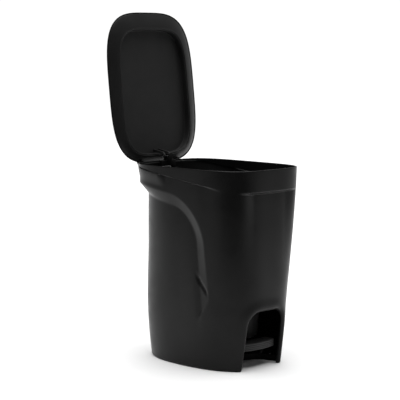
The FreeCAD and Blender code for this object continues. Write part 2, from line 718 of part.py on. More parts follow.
def lever_outline():
    """Side view of an arm, from under the tread, down and back to the axle."""
    z = PEDAL_PIVOT_Z
    return [(ARM_FRONT_Y, z + ARM_TOP), (-94, z + ARM_TOP), (-84, z + 6.5), (0, z + 5), (13, z + 6),
            (13, z - 3), (0, z - 5), (-88, z - 4), (-99, z + 18.5), (ARM_FRONT_Y, z + 18.5)]


def pedal_lever():
    """Two arms, the plate under the tread, and the beam that lifts the wire at the back."""
    arms = []
    for x_low in (-ARM_X[1], ARM_X[0]):
        arms.append(prism(lever_outline(), x_low, ARM_X[1] - ARM_X[0]))
    z = PEDAL_PIVOT_Z
    plate = box((-ARM_X[0] - 1, ARM_FRONT_Y, z + 18.5), (ARM_X[0] + 1, -95, z + 22.5))
    cross = box((-ARM_X[0] - 1, 5, z - 3), (ARM_X[0] + 1, 13, z + 5.5))
    beam = prism([(8, z - 3), (8, z + 5.5), (SLOT_Y - 6, LEVER_END_Z + 4.2), (SLOT_Y + 4, LEVER_END_Z + 4.2),
                  (SLOT_Y + 4, LEVER_END_Z - 4.2), (SLOT_Y - 5, LEVER_END_Z - 4.2)], -6, 8)
    lever = fuse(arms + [plate, cross, beam])
    slot = box((-7, SLOT_Y - 3.3, LEVER_END_Z - WIRE_RADIUS - 0.4),
               (3, SLOT_Y + 1.9, LEVER_END_Z + WIRE_RADIUS + 0.4))
    return lever.cut(slot).cut(rod_x(AXLE_RADIUS, -60, 60, 0, z))


def tread_face(inset, z):
    front = Part.Arc(Vector(-TREAD_HALF_WIDTH + inset, TREAD_SIDE_Y + inset, z),
                     Vector(0, TREAD_FRONT_Y + inset, z),
                     Vector(TREAD_HALF_WIDTH - inset, TREAD_SIDE_Y + inset, z)).toShape()
    back_left = Vector(-TREAD_HALF_WIDTH + inset, TREAD_BACK_Y - inset, z)
    back_right = Vector(TREAD_HALF_WIDTH - inset, TREAD_BACK_Y - inset, z)
    right = Part.LineSegment(Vector(TREAD_HALF_WIDTH - inset, TREAD_SIDE_Y + inset, z), back_right).toShape()
    back = Part.LineSegment(back_right, back_left).toShape()
    left = Part.LineSegment(back_left, Vector(-TREAD_HALF_WIDTH + inset, TREAD_SIDE_Y + inset, z)).toShape()
    return Part.Face(Part.Wire([front, right, back, left]))


def pedal_tread():
    """Moulded tread that clips over the lever's plate, with ribs along its front."""
    low, high = TREAD_Z
    block = tread_face(0, low).extrude(Vector(0, 0, high - low))
    corners = [edge for edge in block.Edges if abs(edge.tangentAt(edge.FirstParameter).z) > 0.9]
    block = block.makeFillet(TREAD_CORNER, corners)
    block = block.makeFillet(TREAD_EDGE, [edge for edge in block.Edges if edge.CenterOfMass.z > high - 0.01])
    pocket = tread_face(TREAD_WALL, low - 1).extrude(Vector(0, 0, 4.5))
    arm_x = ARM_X[1] + 0.05
    arm_room = box((-arm_x, ARM_FRONT_Y - 0.05, low - 1), (arm_x, TREAD_BACK_Y + 1, PEDAL_PIVOT_Z + ARM_TOP))
    tread = block.cut(fuse([pocket, arm_room]))
    for rise in TREAD_GROOVES:
        z = low + rise
        groove = tread_face(-2, z - 0.6).extrude(Vector(0, 0, 1.2))
        keep = tread_face(0.8, z - 1).extrude(Vector(0, 0, 2))
        behind = box((-60, TREAD_SIDE_Y + 4, z - 2), (60, TREAD_BACK_Y + 5, z + 2))
        tread = tread.cut(groove.cut(keep).cut(behind))
    return tread


def pedal_axle():
    return rod_x(AXLE_RADIUS, -CHEEK_X[1] - 3, CHEEK_X[1] + 3, 0, PEDAL_PIVOT_Z)


def axle_bush_right():
    sleeve = rod_x(BUSH_RADIUS, CHEEK_X[0] - 1.5, CHEEK_X[1] + 3.5, 0, PEDAL_PIVOT_Z)
    collar = rod_x(BUSH_RADIUS + 1.8, CHEEK_X[0] - 3.0, CHEEK_X[0] - 1.5, 0, PEDAL_PIVOT_Z)
    bore = rod_x(AXLE_RADIUS + RUNNING_CLEARANCE, CHEEK_X[0] - 4, CHEEK_X[1] + 5, 0, PEDAL_PIVOT_Z)
    return fuse([sleeve, collar]).cut(bore)


def axle_bush_left():
    return mirror_x(axle_bush_right())


def export(name, shape):
    shape.exportStep("parts/" + name + ".step")
    bounds = shape.BoundBox
    print(name, len(shape.Solids), shape.isValid(), round(shape.Volume / 1000, 2), "cm3",
          [round(value, 1) for value in (bounds.XMin, bounds.YMin, bounds.ZMin, bounds.XMax, bounds.YMax,
                                       bounds.ZMax)])


NODES = {
    "outer_shell": outer_shell,
    "base_tray": base_tray,
    "inner_bucket": inner_bucket,
    "lid_cover": lid_cover,
    "lid_liner": lid_liner,
    "lid_panel": lid_panel,
    "hinge_pin_left": hinge_pin_left,
    "hinge_pin_right": hinge_pin_right,
    "lug_pin": lug_pin,
    "lifter": lifter,
    "lifting_wire": lifting_wire,
    "lifter_guide": lifter_guide,
    "wire_guide": wire_guide,
    "guide_screws": guide_screws,
    "base_screws": base_screws,
    "pedal_lever": pedal_lever,
    "pedal_tread": pedal_tread,
    "pedal_axle": pedal_axle,
    "axle_bush_left": axle_bush_left,
    "axle_bush_right": axle_bush_right,
}

os.makedirs("parts", exist_ok=True)
for node_name, make in NODES.items():
    export(node_name, make())
for node_name, place in foot_places().items():
    export(node_name, foot_pad(*place))
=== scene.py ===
"""Looks of the pedal trash can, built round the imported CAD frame. Metres, Z up, the front faces -Y."""
import json
import math

import bmesh
import bpy
import numpy as np
from mathutils import Matrix, Vector


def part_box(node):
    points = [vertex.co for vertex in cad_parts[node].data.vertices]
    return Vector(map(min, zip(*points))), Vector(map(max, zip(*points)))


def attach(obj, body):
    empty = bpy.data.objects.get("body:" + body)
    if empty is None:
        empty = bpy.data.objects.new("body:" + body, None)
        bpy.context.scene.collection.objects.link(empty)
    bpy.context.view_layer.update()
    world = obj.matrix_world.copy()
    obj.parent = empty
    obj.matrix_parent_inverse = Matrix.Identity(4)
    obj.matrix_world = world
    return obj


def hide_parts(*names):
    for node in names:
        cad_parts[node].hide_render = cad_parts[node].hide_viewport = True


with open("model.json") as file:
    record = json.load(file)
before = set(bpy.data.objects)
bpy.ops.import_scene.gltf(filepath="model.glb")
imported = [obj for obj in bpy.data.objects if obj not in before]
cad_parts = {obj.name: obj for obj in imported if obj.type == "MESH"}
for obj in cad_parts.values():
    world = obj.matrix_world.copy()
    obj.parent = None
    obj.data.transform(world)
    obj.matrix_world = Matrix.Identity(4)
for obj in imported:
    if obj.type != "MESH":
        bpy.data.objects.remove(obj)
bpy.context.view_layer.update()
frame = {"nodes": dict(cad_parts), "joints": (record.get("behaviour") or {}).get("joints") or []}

MM = 0.001

# Edges that turn by more than this many degrees stay sharp: on plates, and on pieces with tight rounds
SHARP_ANGLE = 40
ROUND_ANGLE = 50

# Sizes read from the frame
shell_low, shell_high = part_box("outer_shell")
bucket_low, bucket_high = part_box("inner_bucket")
lid_hinge = next(joint for joint in frame["joints"] if joint["name"] == "lid_hinge")
RIM_HEIGHT = shell_high.z
RIM_HALF_WIDTH = 109.5 * MM
RIM_HALF_DEPTH = -shell_low.y
BUCKET_FLOOR_Z = bucket_low.z
BUCKET_TOP_Z = bucket_high.z
HINGE = Vector(lid_hinge["pos_m"])
LID_OPEN = math.radians(lid_hinge["range_deg"][1])

# Body outline, as superellipses that grow and square up with height
BODY_TOP_Z = 350 * MM
BODY_CENTRE_Y = 4.5 * MM
BASE_HALF_WIDTH = 96.7 * MM
BASE_HALF_DEPTH = 147.2 * MM
BODY_TOP_HALF_WIDTH = 106.5 * MM
BODY_TOP_HALF_DEPTH = 150 * MM
BODY_BULGE = 6.3 * MM
BASE_POWER = 2.42
RIM_POWER = 4.2
BASE_EDGE_RADIUS = 4 * MM
WALL = 2.4 * MM
INNER_FOOT_Z = 2.5 * MM
SHELL_COUNT = 480

# Rim band, whose lower edge slopes down to the front. At the near corners the body runs flush into it.
BAND_MID_Z = 376.8 * MM
BAND_SLOPE = 0.13
BAND_STEP = 6 * MM
BAND_SIDE_STEP = 0.9 * MM
BAND_TAPER = 0.03
LEVEL_BELOW_Z = 200 * MM
CORNER_START_X = 42 * MM
CORNER_START_Y = 62 * MM
CORNER_FADE = 44 * MM
FLUSH_LOW_Z = 120 * MM

# Ledge under the rear half of the band
LEDGE_Y = 39 * MM
LEDGE_START = 22 * MM
LEDGE_PROUD = 4.8 * MM
LEDGE_HEIGHT = 26 * MM
LEDGE_SIDE_X = 60 * MM

# Recess swept round the sides and the back, bordered by a sloping ramp
RECESS_DEPTH = 7 * MM
RECESS_BACK_DEPTH = 0.9 * MM
RECESS_POWER = 2.65
RECESS_TOP_Z = 342.8 * MM
RECESS_TOP_SLOPE = 0.14
RECESS_FRONT_Y = -86 * MM
RECESS_FRONT_SLOPE = 0.085
RECESS_CORNER = 85 * MM
RECESS_RAMP = 23 * MM
RECESS_CRISP = 0.92
RECESS_FADE_HEIGHT = 240 * MM

# The ramp's low end is a leaf below a crease that crosses it aslant
LEAF_LOW_Z = 108 * MM
LEAF_HEIGHT = 12 * MM
LEAF_LEAN = 1.2
LEAF_REACH = 0.8 * RECESS_RAMP
CREASE_Z = 166 * MM
CREASE_HALF = 9 * MM
CREASE_LEAN = -3.0
CREASE_DEPTH = 0.5
CREASE_START = 0.3 * RECESS_RAMP
CREASE_END = 0.5 * RECESS_RAMP

# Foot arch: its outline, the rolled edge that reaches back from it, and the soft border round it
ARCH_HALF_WIDTH = 53.5 * MM
ARCH_TOP_HALF_WIDTH = 50 * MM
ARCH_HEIGHT = 116.5 * MM
ARCH_CORNER = 28 * MM
ARCH_FLANGE_TOP_Y = -135 * MM
ARCH_FLANGE_FOOT_Y = -116 * MM
ARCH_ROLL_WIDTH = 9 * MM
ARCH_BORDER_WIDTH = 20 * MM
ARCH_BORDER_RISE = 1.5 * MM
ARCH_BORDER_LOW_SHARE = 0.3
ARCH_BORDER_LOW_Z = 25 * MM
ARCH_BORDER_FADE = 60 * MM
ARCH_LIP_STEP = 2 * MM

# Lid
LID_HALF_WIDTH = 122 * MM
LID_HALF_LENGTH = 158.2 * MM
LID_POWER = 3.57
LID_CENTRE_Y = 1.3 * MM
LID_PLANE_Z = 405.3 * MM
LID_CROWN = 18 * MM
LID_CROWN_POWER = 5
LID_EDGE = 3 * MM
LID_EDGE_SCALE = 0.975
LID_WALL = 2.2 * MM
LID_GAP = 0.3 * MM
LID_ROLL_RADIUS = 0.7 * MM
LID_INSIDE = ((0.2, 3.5 * MM), (0.6, 3.5 * MM), (0.85, 3.5 * MM), (0.95, 2.6 * MM))
LINER_BOW = 0.7 * MM
LIP_DROP = 8 * MM
LIP_HALF_WIDTH = 98 * MM
LIP_HALF_DEPTH = 135 * MM
LIP_RADIUS = 1.4 * MM
LIP_INNER_DEPTH = 4.5 * MM
LIP_POWER = 4.2
PANEL_Y = 10.7 * MM
PANEL_RISE = 4.4 * MM
PANEL_HALF_WIDTH = 92 * MM
PANEL_HALF_DEPTH = 129.5 * MM
PANEL_FILLET = 1.2 * MM
PANEL_SAG = 0.4 * MM
PANEL_RIM_INSET = 3.1 * MM
PANEL_RIM_RADIUS = 1 * MM
KNUCKLE_X = (46 * MM, 60 * MM)
KNUCKLE_RADIUS = 3.6 * MM
EAR_WIDTH = 4.5 * MM
EAR_GAP = 0.5 * MM
EAR_NOSE_RADIUS = 4.2 * MM
EAR_ROOT_Y = 10 * MM
EAR_DROP = 14 * MM
PAD_GAP = 0.1 * MM
PAD_INSET = 1 * MM
PAD_BACK_Y = 154 * MM
LUG_X = (6 * MM, 9 * MM)
LUG_BOSS_RADIUS = 4.2 * MM
LUG_ROOT_DEPTH = 3.6 * MM

# Inner bucket: rings of its wall in mm, as height above its floor, half width, half depth, power, centre y
BUCKET_RINGS = (
    (0, 68, 102, 3.6, 24.5),
    (55, 72, 105, 3.4, 22.5),
    (190, 83, 120, 3.1, 11.5),
    (316, 91, 134, 3.0, 1.0),
)
BUCKET_WALL = 1.8 * MM
BUCKET_CORNER = 6 * MM
BUCKET_FLOOR_THICKNESS = 2 * MM
BUCKET_RIM_RADIUS = 1.0 * MM
BUCKET_RIM_REACH = 2.5 * MM
BUCKET_ROWS = 44

# Camera: its turn and tilt in degrees, and where it stands
CAMERA_TURN = -45.109
CAMERA_TILT = 6.432
CAMERA_PLACE = Vector((-2.0816, -2.0253, 0.6549))
CAMERA_LENS = 129.4

# Plastic and steel: how fine each pattern is, per metre, and how strongly it shows
CLOUD_SCALE = 9.0
CLOUD_CONTRAST = 0.12
GLOSS_SCALE = 26.0
GLOSS_SPREAD = 0.05
RIPPLE_SCALE = 14.0
RIPPLE_STRENGTH = 0.25
RIPPLE_DEPTH = 0.35 * MM
GRAIN_STRENGTH = 0.5
LINE_SCALE = 60.0
LINE_STRETCH = (40.0, 40.0, 2.0)
LINE_STRENGTH = 0.3
LINE_DEPTH = 0.05 * MM
PATCH_SCALE = 180.0
PATCH_TONE = 0.8

# Studio: the room's brightness from behind the object (0) to behind the camera (1), and the floor in metres
TOWARD_CAMERA = (-0.707, -0.707, 0.0)
ROOM_TONES = ((0.04, 1.06), (0.14, 0.55), (0.5, 0.32), (0.9, 0.12))
FLOOR_SHIFT = 1.9
FLOOR_RADIUS = 3.4
FLOOR_MOTTLE_SCALE = 3.0
FLOOR_DARK = 0.80
FLOOR_PALE = 0.84
FLOOR_ROUGHNESS = 0.9
OVERHEAD_STRENGTH = 4.0
OVERHEAD_SPREAD = 70


# ---------------------------------------------------------------- mesh helpers

def smooth(value):
    """Goes from 0 to 1 with flat ends."""
    value = np.clip(value, 0.0, 1.0)
    return value * value * (3 - 2 * value)


def superellipse(half_x, half_y, power, centre_y, turn):
    """Points of a superellipse, at turns of 0 to 1."""
    cosine = np.cos(2 * np.pi * turn)
    sine = np.sin(2 * np.pi * turn)
    reach = (np.abs(cosine) ** power + np.abs(sine) ** power) ** (-1 / power)
    return half_x * reach * cosine, centre_y + half_y * reach * sine


def mesh_object(name, points, faces, sharp_angle=SHARP_ANGLE):
    """A smooth-shaded mesh object whose edges above an angle stay sharp."""
    mesh = bpy.data.meshes.new(name)
    mesh.from_pydata([tuple(point) for point in points], [], [tuple(face) for face in faces])
    mesh.validate()
    tool = bmesh.new()
    tool.from_mesh(mesh)
    bmesh.ops.remove_doubles(tool, verts=tool.verts, dist=1e-6)
    bmesh.ops.recalc_face_normals(tool, faces=tool.faces)
    tool.to_mesh(mesh)
    tool.free()
    return finished_object(name, mesh, sharp_angle)


def finished_object(name, mesh, sharp_angle=SHARP_ANGLE):
    """Shades a mesh smooth between its sharp edges and puts it in the scene."""
    mesh.polygons.foreach_set("use_smooth", [True] * len(mesh.polygons))
    mesh.set_sharp_from_angle(angle=math.radians(sharp_angle))
    piece = bpy.data.objects.new(name, mesh)
    bpy.context.scene.collection.objects.link(piece)
    return piece


def grid_faces(rows, columns):
    """Quads of a grid whose rows close on themselves."""
    faces = []
    for row in range(rows - 1):
        for column in range(columns):
            following = (column + 1) % columns
            low = row * columns
            high = low + columns
            faces.append((low + column, low + following, high + following, high + column))
    return faces


def ring_surface(stations, count=256, cap_start=False, cap_end=False):
    """Points and faces through rings, each given as (half_x, half_y, power, centre_y, z)."""
    turn = np.arange(count) / count
    points = []
    for half_x, half_y, power, centre_y, z in stations:
        x, y = superellipse(half_x, half_y, power, centre_y, turn)
        points += list(zip(x, y, np.full(count, z)))
    faces = grid_faces(len(stations), count)
    if cap_start:
        faces.append(tuple(range(count)))
    if cap_end:
        last = (len(stations) - 1) * count
        faces.append(tuple(range(last, last + count)))
    return points, faces


def arc_steps(start_deg, end_deg, steps):
    """Evenly spaced angles, in radians, with both ends."""
    return [math.radians(start_deg + (end_deg - start_deg) * step / steps) for step in range(steps + 1)]


def extruded(name, outline, x_low, x_high, bevel):
    """A bevelled plate: an outline of (y, z) points carried along X."""
    tool = bmesh.new()
    base = [tool.verts.new((x_low, y, z)) for y, z in outline]
    face = tool.faces.new(base)
    made = bmesh.ops.extrude_face_region(tool, geom=[face])
    moved = [item for item in made["geom"] if isinstance(item, bmesh.types.BMVert)]
    bmesh.ops.translate(tool, verts=moved, vec=(x_high - x_low, 0, 0))
    bmesh.ops.recalc_face_normals(tool, faces=tool.faces)
    edges = [edge for edge in tool.edges if edge.calc_face_angle(0) > math.radians(25)]
    bmesh.ops.bevel(tool, geom=edges, offset=bevel, segments=3, profile=0.5, affect="EDGES")
    mesh = bpy.data.meshes.new(name)
    tool.to_mesh(mesh)
    tool.free()
    return finished_object(name, mesh)


def merged(name, pieces):
    """One object out of several, which are removed."""
    tool = bmesh.new()
    for piece in pieces:
        tool.from_mesh(piece.data)
        bpy.data.objects.remove(piece)
    mesh = bpy.data.meshes.new(name)
    tool.to_mesh(mesh)
    tool.free()
    return finished_object(name, mesh)


def softened(node, body, material, width):
    """Stands for a CAD node: the same shape with its sharp edges rounded."""
    tool = bmesh.new()
    tool.from_mesh(frame["nodes"][node].data)
    bmesh.ops.remove_doubles(tool, verts=tool.verts, dist=2e-6)
    bmesh.ops.dissolve_limit(tool, angle_limit=math.radians(0.6), verts=tool.verts, edges=tool.edges)
    edges = [edge for edge in tool.edges if edge.is_manifold and edge.calc_face_angle(0) > math.radians(35)]
    bmesh.ops.bevel(tool, geom=edges, offset=width, segments=2, profile=0.5, affect="EDGES",
                    clamp_overlap=True)
    mesh = bpy.data.meshes.new(node + "_moulded")
    tool.to_mesh(mesh)
    tool.free()
    piece = finished_object(node + "_moulded", mesh)
    dress(piece, body, material)
    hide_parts(node)
    return piece


def dress(piece, body, material):
    """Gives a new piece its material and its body."""
    piece.data.materials.clear()
    piece.data.materials.append(material)
    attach(piece, body)
    return piece


def repaint(node, material):
    """A better material on a CAD node whose shape stays."""
    shown = frame["nodes"][node]
    for place in shown.material_slots:
        place.material = material


# ---------------------------------------------------------------- materials

class Maker:
    """Adds nodes to a new material."""

    def __init__(self, name):
        self.material = bpy.data.materials.new(name)
        self.material.use_nodes = True
        self.tree = self.material.node_tree
        self.shader = self.tree.nodes["Principled BSDF"]
        self.place = self.tree.nodes.new("ShaderNodeTexCoord")

    def node(self, kind, **values):
        """A node with some of its settings or inputs given."""
        made = self.tree.nodes.new(kind)
        for key, value in values.items():
            if hasattr(made, key):
                setattr(made, key, value)
            else:
                made.inputs[key.replace("_", " ")].default_value = value
        return made

    def link(self, source, target):
        """Joins an output to an input."""
        self.tree.links.new(source, target)

    def stretched(self, scale):
        """Object coordinates, scaled along each axis."""
        mapping = self.node("ShaderNodeMapping")
        mapping.inputs["Scale"].default_value = scale
        self.link(self.place.outputs["Object"], mapping.inputs["Vector"])
        return mapping.outputs["Vector"]

    def noise(self, scale, detail=3.0, vector=None):
        """Cloudy noise over the object, between 0 and 1."""
        made = self.node("ShaderNodeTexNoise", Scale=scale, Detail=detail)
        self.link(vector or self.place.outputs["Object"], made.inputs["Vector"])
        return made.outputs["Fac"]

    def ranged(self, source, low, high, from_low=0.35, from_high=0.65):
        """Spreads a value, by default a noise, over a new range."""
        made = self.node("ShaderNodeMapRange")
        made.inputs["From Min"].default_value = from_low
        made.inputs["From Max"].default_value = from_high
        made.inputs["To Min"].default_value = low
        made.inputs["To Max"].default_value = high
        self.link(source, made.inputs["Value"])
        return made.outputs["Result"]

    def mixed(self, factor, first, second):
        """A blend of two colours, each a tuple or an output."""
        made = self.node("ShaderNodeMix", data_type="RGBA")
        for index, colour in ((6, first), (7, second)):
            if isinstance(colour, tuple):
                made.inputs[index].default_value = colour + (1.0,)
            else:
                self.link(colour, made.inputs[index])
        self.link(factor, made.inputs[0])
        return made.outputs[2]

    def worn_edges(self, low=0.53, high=0.60):
        """From 0 on flat places to 1 on sharp outer edges."""
        geometry = self.node("ShaderNodeNewGeometry")
        return self.ranged(geometry.outputs["Pointiness"], 0.0, 1.0, low, high)

    def bump(self, height, strength, distance, below=None):
        """Relief from a height, on top of another relief if one is given."""
        made = self.node("ShaderNodeBump", Strength=strength, Distance=distance)
        self.link(height, made.inputs["Height"])
        if below is not None:
            self.link(below, made.inputs["Normal"])
        return made.outputs["Normal"]


def grey(value):
    """A neutral colour."""
    return (value, value, value)


def moulded_plastic(name, tone, roughness, grain_size, grain_depth, wear=1.8, shine=0.28):
    """Injection-moulded plastic: a fine grain, uneven gloss and paler rubbed edges."""
    make = Maker(name)
    cloudy = make.ranged(make.noise(CLOUD_SCALE), 0.0, 1.0)
    body = make.mixed(cloudy, grey(tone * (1 - CLOUD_CONTRAST)), grey(tone * (1 + CLOUD_CONTRAST)))
    rubbed = make.mixed(make.worn_edges(), body, grey(tone * wear))
    make.link(rubbed, make.shader.inputs["Base Color"])
    gloss = make.ranged(make.noise(GLOSS_SCALE, 4.0), roughness - GLOSS_SPREAD, roughness + GLOSS_SPREAD)
    make.link(gloss, make.shader.inputs["Roughness"])
    ripple = make.bump(make.noise(RIPPLE_SCALE, 2.0), RIPPLE_STRENGTH, RIPPLE_DEPTH)
    grain = make.bump(make.noise(1 / grain_size, 2.0), GRAIN_STRENGTH, grain_depth, ripple)
    make.link(grain, make.shader.inputs["Normal"])
    make.shader.inputs["Specular IOR Level"].default_value = shine
    return make.material


def drawn_steel(name, tone, roughness):
    """Bright steel with fine lines along the wire and a few dull patches."""
    make = Maker(name)
    lines = make.noise(LINE_SCALE, 4.0, make.stretched(LINE_STRETCH))
    patches = make.ranged(make.noise(PATCH_SCALE), 0.0, 1.0)
    make.link(make.mixed(patches, grey(tone * PATCH_TONE), grey(tone)), make.shader.inputs["Base Color"])
    make.link(make.ranged(lines, roughness - 0.08, roughness + 0.1), make.shader.inputs["Roughness"])
    make.link(make.bump(lines, LINE_STRENGTH, LINE_DEPTH), make.shader.inputs["Normal"])
    make.shader.inputs["Metallic"].default_value = 1.0
    return make.material


def pale_floor(name):
    """Matt paper with a faint mottle."""
    make = Maker(name)
    mottle = make.ranged(make.noise(FLOOR_MOTTLE_SCALE), 0.0, 1.0)
    make.link(make.mixed(mottle, grey(FLOOR_DARK), grey(FLOOR_PALE)), make.shader.inputs["Base Color"])
    make.shader.inputs["Roughness"].default_value = FLOOR_ROUGHNESS
    return make.material


# ---------------------------------------------------------------- outer shell

def recess_depth(y, z):
    """How far a place lies inside the recess's edge, measured on the side of the body."""
    below = RECESS_TOP_Z + RECESS_TOP_SLOPE * y - z
    behind = y - RECESS_FRONT_Y - RECESS_FRONT_SLOPE * z
    rounded = RECESS_CORNER - np.hypot(RECESS_CORNER - below, RECESS_CORNER - behind)
    in_corner = (below < RECESS_CORNER) & (behind < RECESS_CORNER)
    return np.where(in_corner, rounded, np.minimum(below, behind))


def recess_share(y, z):
    """From 0 outside the recess, over its ramp, to 1 inside it; less towards the floor."""
    depth = recess_depth(y, z)
    slope = np.clip(depth / RECESS_RAMP, 0.0, 1.0)
    slope = RECESS_CRISP * slope + (1 - RECESS_CRISP) * smooth(slope)
    leaf = np.clip((z - LEAF_LOW_Z + LEAF_LEAN * (depth - RECESS_RAMP)) / LEAF_HEIGHT, 0.0, 1.0)
    long_fade = smooth(z / RECESS_FADE_HEIGHT)
    behind_leaf = smooth((depth - LEAF_REACH) / RECESS_RAMP)
    crease = (z - CREASE_Z) / CREASE_HALF + (depth - RECESS_RAMP / 2) / RECESS_RAMP * CREASE_LEAN
    folded = np.clip(1 - np.abs(crease), 0.0, 1.0) * smooth(depth / CREASE_START)
    folded = folded * (1 - smooth((depth - RECESS_RAMP) / CREASE_END))
    return slope * (leaf + (long_fade - leaf) * behind_leaf) + folded * CREASE_DEPTH


def body_outline(z, turn, inset):
    """The shell's surface at heights z and turns, moved in by inset."""
    rise = z / BODY_TOP_Z
    bulge = BODY_BULGE * rise * (1 - rise)
    half_x = BASE_HALF_WIDTH + (BODY_TOP_HALF_WIDTH - BASE_HALF_WIDTH) * rise + bulge
    half_y = BASE_HALF_DEPTH + (BODY_TOP_HALF_DEPTH - BASE_HALF_DEPTH) * rise + bulge
    power = BASE_POWER + (RIM_POWER - BASE_POWER) * np.minimum(rise, 1.0)
    drop = np.clip(BASE_EDGE_RADIUS - z, 0.0, BASE_EDGE_RADIUS)
    inset = inset + BASE_EDGE_RADIUS - np.sqrt(BASE_EDGE_RADIUS ** 2 - drop ** 2)
    body = superellipse(half_x - inset, half_y - inset, power, BODY_CENTRE_Y, turn)
    recess = superellipse(
        half_x - inset - RECESS_DEPTH * rise,
        half_y - inset - RECESS_BACK_DEPTH * rise,
        RECESS_POWER,
        BODY_CENTRE_Y,
        turn,
    )
    grow = (z - RIM_HEIGHT) * BAND_TAPER - inset
    band = superellipse(RIM_HALF_WIDTH + grow, RIM_HALF_DEPTH + grow, RIM_POWER, 0.0, turn)
    forward = smooth((-body[1] - CORNER_START_Y) / CORNER_FADE)
    sideward = smooth((np.abs(body[0]) - CORNER_START_X) / CORNER_FADE)
    flush = forward * sideward * smooth((z - FLUSH_LOW_Z) / (BAND_MID_Z - FLUSH_LOW_Z))
    step = BAND_SIDE_STEP + (BAND_STEP - BAND_SIDE_STEP) * forward
    above_edge = z - BAND_MID_Z - BAND_SLOPE * body[1]
    banded = smooth((above_edge + step) / step)
    proud = smooth((body[1] - LEDGE_Y) / LEDGE_START) * LEDGE_PROUD
    ledge = proud * smooth((above_edge + LEDGE_HEIGHT) / LEDGE_HEIGHT) * (1 - banded)
    recessed = recess_share(body[1], z)
    x = body[0] + (recess[0] - body[0]) * recessed
    y = body[1] + (recess[1] - body[1]) * recessed
    x = x + ledge * np.sign(x) * smooth(np.abs(x) / LEDGE_SIDE_X)
    x = x + (band[0] - x) * flush
    y = y + (band[1] - y) * flush
    return x + (band[0] - x) * banded, y + (band[1] - y) * banded


def rows_between(start, end, spacing):
    """Evenly spaced heights, given in millimetres."""
    return list(np.arange(start, end, spacing) * MM)


def foot_rows():
    """Nominal heights of the shell's rows from the rounded foot edge to below the band."""
    edge = [BASE_EDGE_RADIUS * (1 - math.cos(angle)) for angle in arc_steps(0, 90, 7)]
    return edge + rows_between(7, 300, 3.5) + rows_between(301, 360, 2.0)


def band_rows():
    """Nominal heights of the rows over the band's step, close together, and up to the rim."""
    return rows_between(361, 381, 0.5) + list(np.linspace(381.5, 398.8, 14) * MM)


def sheared(nominal, y):
    """Heights that follow the band's sloping edge, and stay level at the foot and the rim."""
    share = np.clip((nominal - LEVEL_BELOW_Z) / (BAND_MID_Z - LEVEL_BELOW_Z), 0.0, 1.0)
    lower = nominal + BAND_SLOPE * y * share
    edge = BAND_MID_Z + BAND_SLOPE * y
    top = RIM_HEIGHT - WALL / 2
    upper = edge + (nominal - BAND_MID_Z) / (top - BAND_MID_Z) * (top - edge)
    return np.where(nominal > BAND_MID_Z, upper, lower)


def arch_distance(x, z):
    """Signed distance to the foot arch's outline on the XZ plane, positive outside."""
    across = np.abs(x)
    shoulder_z = ARCH_HEIGHT - ARCH_CORNER
    run = ARCH_HALF_WIDTH - ARCH_TOP_HALF_WIDTH
    slant = shoulder_z / math.hypot(shoulder_z, run)
    side = (across - ARCH_TOP_HALF_WIDTH - run * (shoulder_z - z) / shoulder_z) * slant
    centre_x = ARCH_TOP_HALF_WIDTH - ARCH_CORNER
    corner = np.hypot(across - centre_x, z - shoulder_z) - ARCH_CORNER
    top = z - ARCH_HEIGHT
    upper = np.where(across > centre_x, corner, top)
    return np.where(z > shoulder_z, upper, side)


def clipped(points, faces, distance):
    """Cuts faces where distance crosses zero and keeps the positive side.

    Gives the points, the kept faces and the cut's segments.
    """
    points = [tuple(point) for point in points]
    crossings = {}

    def crossing(first, second):
        key = (min(first, second), max(first, second))
        if key not in crossings:
            share = distance[first] / (distance[first] - distance[second])
            start = points[first]
            end = points[second]
            points.append(tuple(start[axis] + (end[axis] - start[axis]) * share for axis in range(3)))
            crossings[key] = len(points) - 1
        return crossings[key]

    kept = []
    segments = []
    for face in faces:
        signs = [distance[corner] >= 0 for corner in face]
        if all(signs):
            kept.append(face)
            continue
        if not any(signs):
            continue
        polygon = []
        cut = []
        for index, corner in enumerate(face):
            following = face[(index + 1) % len(face)]
            if distance[corner] >= 0:
                polygon.append(corner)
            if (distance[corner] >= 0) != (distance[following] >= 0):
                polygon.append(crossing(corner, following))
                cut.append(polygon[-1])
        kept.append(tuple(polygon))
        if len(cut) == 2:
            segments.append(tuple(cut))
    return points, kept, segments


def used_only(points, faces):
    """Drops the points that no face uses."""
    used = sorted({corner for face in faces for corner in face})
    place = {corner: index for index, corner in enumerate(used)}
    return [points[corner] for corner in used], [tuple(place[corner] for corner in face) for face in faces]


def shell_skin(inset, count, heights):
    """Points of the shell's wall, row by row from the foot to the rim, moved in by inset."""
    turn = np.arange(count) / count
    guide = superellipse(RIM_HALF_WIDTH, RIM_HALF_DEPTH, RIM_POWER, 0.0, turn)[1]
    points = []
    for nominal in heights:
        z = sheared(np.full(count, nominal), guide)
        x, y = body_outline(z, turn, inset)
        points += list(zip(x, y, z))
    return points


def rim_round(count):
    """Rows over the rounded top of the wall, from outside to inside."""
    turn = np.arange(count) / count
    points = []
    for angle in arc_steps(15, 165, 8):
        z = np.full(count, RIM_HEIGHT - WALL / 2)
        x, y = body_outline(z, turn, WALL / 2 * (1 - math.cos(angle)))
        points += list(zip(x, y, z + WALL / 2 * math.sin(angle)))
    return points


def arch_back(z):
    """How far back the foot arch's rolled edge reaches at a height."""
    return ARCH_FLANGE_FOOT_Y + (ARCH_FLANGE_TOP_Y - ARCH_FLANGE_FOOT_Y) * z / ARCH_HEIGHT


